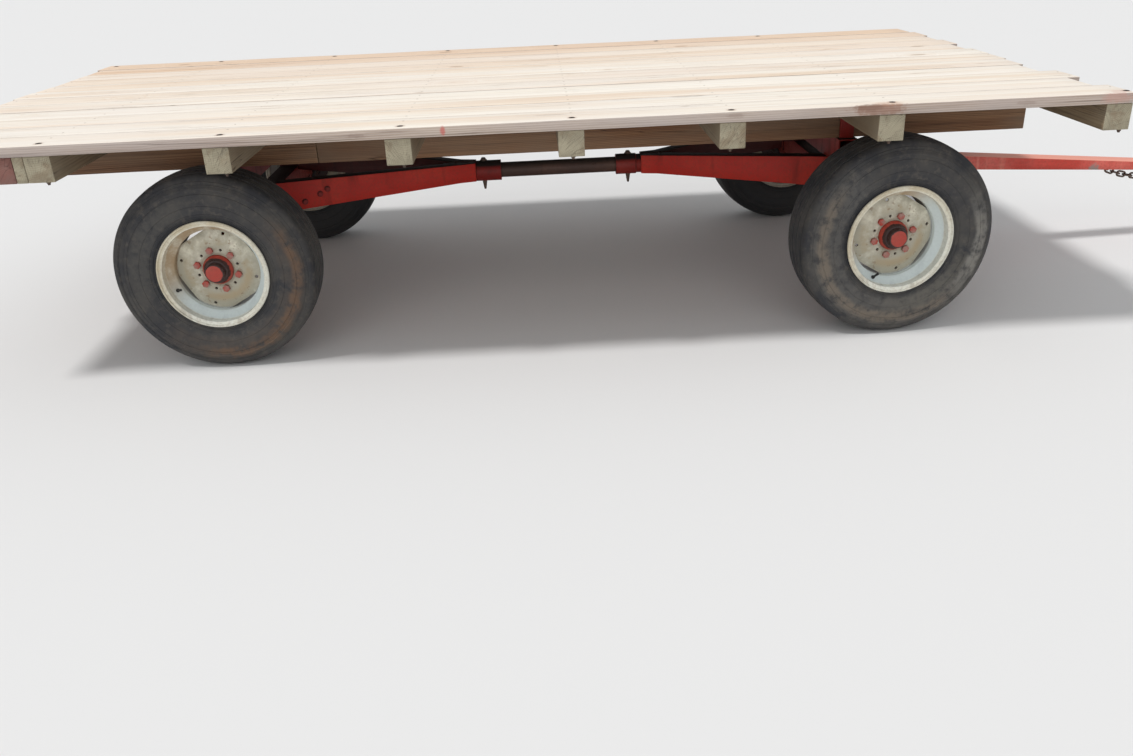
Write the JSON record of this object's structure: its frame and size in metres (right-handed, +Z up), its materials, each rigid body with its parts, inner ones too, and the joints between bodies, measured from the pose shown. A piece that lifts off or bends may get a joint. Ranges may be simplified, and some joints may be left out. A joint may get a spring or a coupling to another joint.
{
  "type": "four-wheel flat-bed hay wagon",
  "caption": "Flat wooden plank deck on timber sills, carried by a red four-wheel steel running gear with knuckle steering and a hinged tongue.",
  "frame": {"origin": "ground level under the middle of the wagon's whole length, tongue included", "axes": "+X towards the tongue, +Y to the wagon's left, +Z up"},
  "size_m": [5.7008, 2.2236, 0.9049],
  "materials": {
    "deck_wood": "bleached, rough sawn",
    "sill_wood": "weathered, pale greenish grey",
    "stained_wood": "reddish brown stain",
    "stringer_wood": "brown, rough",
    "gear_red": "worn red paint with rust",
    "reach_steel": "dark brown rusted steel",
    "pin_steel": "dark rusted steel",
    "rim_cream": "cream enamel with rust stains",
    "tyre_rubber": "dusty black rubber"
  },
  "bodies": {
    "root": {"axle_front": "gear_red", "axle_rear": "gear_red", "bolster_front": "gear_red", "bolster_posts_front": "gear_red", "bolster_posts_rear": "gear_red", "bolster_rear": "gear_red", "bolster_stakes": "gear_red", "cross_sills": "sill_wood", "deck_planks": "deck_wood", "head_pin": "pin_steel", "hound_front_left": "gear_red", "hound_front_right": "gear_red", "hound_rear_left": "gear_red", "hound_rear_right": "gear_red", "kingpin_left": "pin_steel", "kingpin_right": "pin_steel", "reach_pin_front": "pin_steel", "reach_pin_rear": "pin_steel", "reach_pole": "reach_steel", "reach_sleeve_front": "gear_red", "reach_sleeve_rear": "gear_red", "sill_spacer": "sill_wood", "stained_sill": "stained_wood", "stringer_left": "stringer_wood", "stringer_right": "stringer_wood"},
    "drawbar_head": {"drawbar_head": "gear_red", "tongue_hinge_pin": "pin_steel"},
    "tongue": {"hitch_plates": "gear_red", "tongue_bar": "gear_red"},
    "knuckle_left": {"knuckle_left": "gear_red"},
    "tie_rod_left": {"tie_rod_left": "gear_red"},
    "wheel_front_left": {"hub_front_left": "gear_red", "rim_front_left": "rim_cream", "tyre_front_left": "tyre_rubber"},
    "wheel_rear_left": {"hub_rear_left": "gear_red", "rim_rear_left": "rim_cream", "tyre_rear_left": "tyre_rubber"},
    "knuckle_right": {"knuckle_right": "gear_red"},
    "tie_rod_right": {"tie_rod_right": "gear_red"},
    "wheel_front_right": {"hub_front_right": "gear_red", "rim_front_right": "rim_cream", "tyre_front_right": "tyre_rubber"},
    "wheel_rear_right": {"hub_rear_right": "gear_red", "rim_rear_right": "rim_cream", "tyre_rear_right": "tyre_rubber"}
  },
  "joints": [
    {"name": "tongue_swing", "type": "hinge", "parent": "root", "child": "drawbar_head", "pos_m": [0.8296, 0, 0.43], "axis": [0, 0, 1], "range_deg": [-35, 25]},
    {"name": "tongue_lift", "type": "hinge", "parent": "drawbar_head", "child": "tongue", "pos_m": [0.92424, 0.00828, 0.46], "axis": [0.0872, -0.9962, 0], "range_deg": [-8, 28]},
    {"name": "steer_left", "type": "hinge", "parent": "root", "child": "knuckle_left", "pos_m": [0.7096, 0.611, 0.43], "axis": [0, 0, 1], "range_deg": [-35, 25]},
    {"name": "tie_rod_pivot_left", "type": "hinge", "parent": "drawbar_head", "child": "tie_rod_left", "pos_m": [0.97641, 0.04296, 0.39], "axis": [0, 0, 1], "range_deg": [-25, 35]},
    {"name": "spin_front_left", "type": "hinge", "parent": "knuckle_left", "child": "wheel_front_left", "pos_m": [0.7096, 0.611, 0.372], "axis": [-0.0872, 0.9962, 0], "continuous": true},
    {"name": "spin_rear_left", "type": "hinge", "parent": "root", "child": "wheel_rear_left", "pos_m": [-1.8104, 0.8265, 0.372], "axis": [0, 1, 0], "continuous": true},
    {"name": "steer_right", "type": "hinge", "parent": "root", "child": "knuckle_right", "pos_m": [0.7096, -0.611, 0.43], "axis": [0, 0, 1], "range_deg": [-35, 25]},
    {"name": "tie_rod_pivot_right", "type": "hinge", "parent": "drawbar_head", "child": "tie_rod_right", "pos_m": [0.98164, -0.01681, 0.39], "axis": [0, 0, 1], "range_deg": [-25, 35]},
    {"name": "spin_front_right", "type": "hinge", "parent": "knuckle_right", "child": "wheel_front_right", "pos_m": [0.7096, -0.611, 0.372], "axis": [-0.0872, 0.9962, 0], "continuous": true},
    {"name": "spin_rear_right", "type": "hinge", "parent": "root", "child": "wheel_rear_right", "pos_m": [-1.8104, -0.8265, 0.372], "axis": [0, 1, 0], "continuous": true}
  ],
  "couplings": [
    {"joint": "steer_left", "follows": "tongue_swing", "ratio": 1},
    {"joint": "tie_rod_pivot_left", "follows": "tongue_swing", "ratio": -1},
    {"joint": "steer_right", "follows": "tongue_swing", "ratio": 1},
    {"joint": "tie_rod_pivot_right", "follows": "tongue_swing", "ratio": -1}
  ]
}
